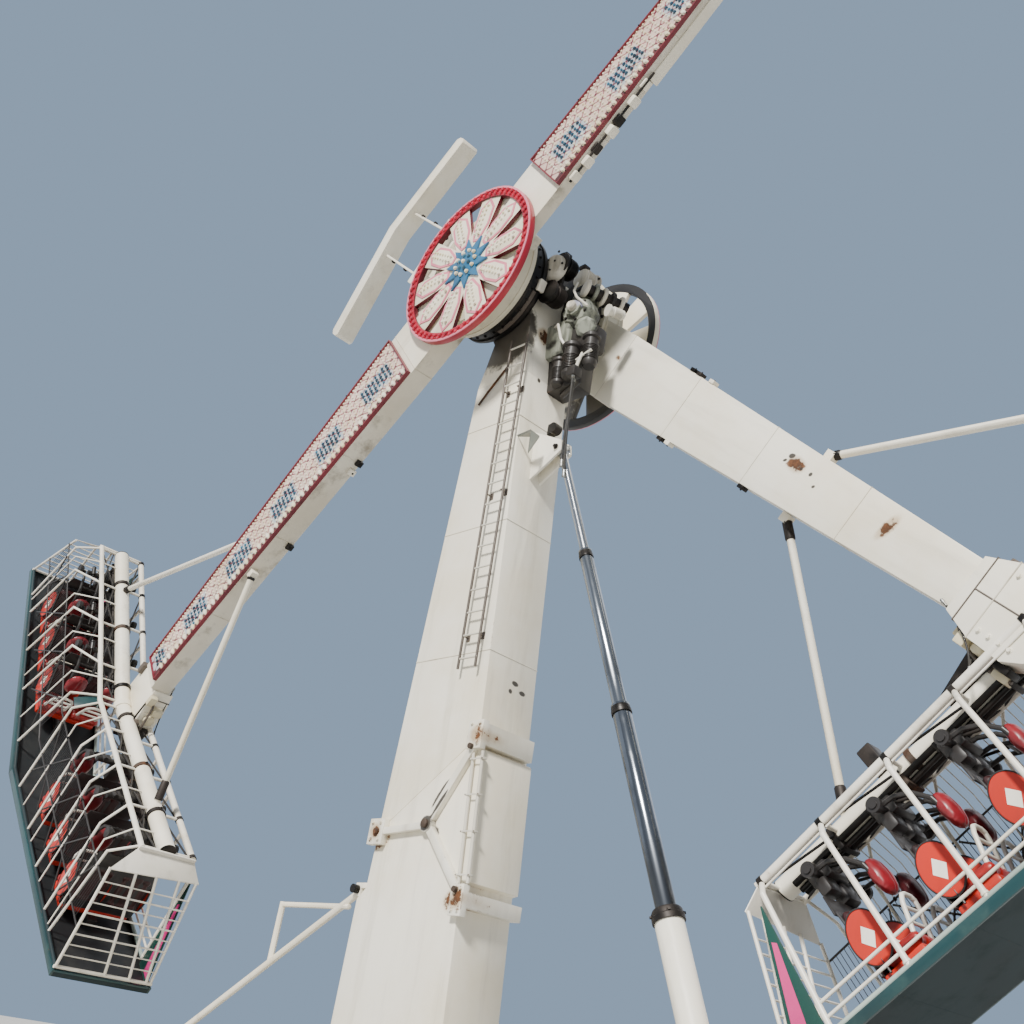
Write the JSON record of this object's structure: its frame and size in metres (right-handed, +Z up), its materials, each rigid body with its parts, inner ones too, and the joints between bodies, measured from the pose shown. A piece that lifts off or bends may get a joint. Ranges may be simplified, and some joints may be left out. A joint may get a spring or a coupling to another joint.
{
  "type": "kamikaze fairground ride",
  "caption": "Fairground ride with a tapered mast, a lifting cylinder and counter-rotating arms that carry caged gondolas, counterweights and lamp-studded discs.",
  "frame": {"origin": "on the floor, under the centre of the arms' turning axis", "axes": "+Z up, +X along the base towards the lifting cylinder, +Y away from the star disc in the picture"},
  "size_m": [20.1734, 6, 17.5171],
  "materials": {
    "back_stay": "gloss white paint, weathered",
    "base_frame": "weathered white paint",
    "cylinder_barrel": "gloss white paint, weathered",
    "cylinder_rod": "chrome",
    "cylinder_stage_1": "worn chrome",
    "cylinder_stage_2": "worn chrome",
    "front_arm_beam": "gloss white paint, weathered",
    "front_counterweight": "gloss white paint, weathered",
    "front_disc_face": "moulded star face with lamps",
    "front_disc_rim": "red gloss paint with lamps",
    "front_drive_motors": "dark grey paint, oily",
    "front_end_box": "gloss white paint, weathered",
    "front_floor_tub": "dark teal paint",
    "front_gondola_light_panel": "printed panel with lamps",
    "front_hub_drum": "gloss white paint, weathered",
    "front_inner_cage": "gloss white paint, weathered",
    "front_lower_seats": "red vinyl",
    "front_lower_strut": "gloss white paint, weathered",
    "front_outer_cage": "gloss white paint, weathered",
    "front_roof_beam": "gloss white paint, weathered",
    "front_slewing_ring": "black greased steel",
    "front_tail_light_panel": "printed panel with lamps",
    "front_upper_seats": "red vinyl",
    "front_upper_strut": "gloss white paint, weathered",
    "joint_links": "gloss white paint, weathered",
    "ladder": "dark rusted paint",
    "left_outrigger": "gloss white paint, weathered",
    "lower_mast": "gloss white paint, weathered",
    "mast_head": "gloss white paint, weathered",
    "rear_arm_beam": "gloss white paint, weathered",
    "rear_counterweight": "gloss white paint, weathered",
    "rear_disc_face": "moulded star face with lamps",
    "rear_disc_rim": "red gloss paint with lamps",
    "rear_drive_motors": "dark grey paint, oily",
    "rear_end_box": "gloss white paint, weathered",
    "rear_floor_tub": "dark teal paint",
    "rear_gondola_light_panel": "printed panel with lamps",
    "rear_hub_drum": "gloss white paint, weathered",
    "rear_inner_cage": "gloss white paint, weathered",
    "rear_lower_seats": "red vinyl",
    "rear_lower_strut": "gloss white paint, weathered",
    "rear_outer_cage": "gloss white paint, weathered",
    "rear_roof_beam": "gloss white paint, weathered",
    "rear_slewing_ring": "black greased steel",
    "rear_tail_light_panel": "printed panel with lamps",
    "rear_upper_seats": "red vinyl",
    "rear_upper_strut": "gloss white paint, weathered",
    "right_outrigger": "gloss white paint, weathered",
    "upper_mast": "gloss white paint, weathered"
  },
  "bodies": {
    "mast": {"back_stay": "back_stay", "base_frame": "base_frame", "cylinder_barrel": "cylinder_barrel", "cylinder_rod": "cylinder_rod", "cylinder_stage_1": "cylinder_stage_1", "cylinder_stage_2": "cylinder_stage_2", "front_drive_motors": "front_drive_motors", "front_slewing_ring": "front_slewing_ring", "joint_links": "joint_links", "ladder": "ladder", "left_outrigger": "left_outrigger", "lower_mast": "lower_mast", "mast_head": "mast_head", "rear_drive_motors": "rear_drive_motors", "rear_slewing_ring": "rear_slewing_ring", "right_outrigger": "right_outrigger", "upper_mast": "upper_mast"},
    "front_arm": {"front_arm_beam": "front_arm_beam", "front_counterweight": "front_counterweight", "front_disc_face": "front_disc_face", "front_disc_rim": "front_disc_rim", "front_end_box": "front_end_box", "front_floor_tub": "front_floor_tub", "front_gondola_light_panel": "front_gondola_light_panel", "front_hub_drum": "front_hub_drum", "front_inner_cage": "front_inner_cage", "front_lower_seats": "front_lower_seats", "front_lower_strut": "front_lower_strut", "front_outer_cage": "front_outer_cage", "front_roof_beam": "front_roof_beam", "front_tail_light_panel": "front_tail_light_panel", "front_upper_seats": "front_upper_seats", "front_upper_strut": "front_upper_strut"},
    "rear_arm": {"rear_arm_beam": "rear_arm_beam", "rear_counterweight": "rear_counterweight", "rear_disc_face": "rear_disc_face", "rear_disc_rim": "rear_disc_rim", "rear_end_box": "rear_end_box", "rear_floor_tub": "rear_floor_tub", "rear_gondola_light_panel": "rear_gondola_light_panel", "rear_hub_drum": "rear_hub_drum", "rear_inner_cage": "rear_inner_cage", "rear_lower_seats": "rear_lower_seats", "rear_lower_strut": "rear_lower_strut", "rear_outer_cage": "rear_outer_cage", "rear_roof_beam": "rear_roof_beam", "rear_tail_light_panel": "rear_tail_light_panel", "rear_upper_seats": "rear_upper_seats", "rear_upper_strut": "rear_upper_strut"}
  },
  "joints": [
    {"name": "front_arm_swing", "type": "hinge", "parent": "mast", "child": "front_arm", "pos_m": [0, -0.92, 11.5], "axis": [0, 1, 0], "continuous": true},
    {"name": "rear_arm_swing", "type": "hinge", "parent": "mast", "child": "rear_arm", "pos_m": [0, 0.92, 11.5], "axis": [0, 1, 0], "continuous": true}
  ]
}
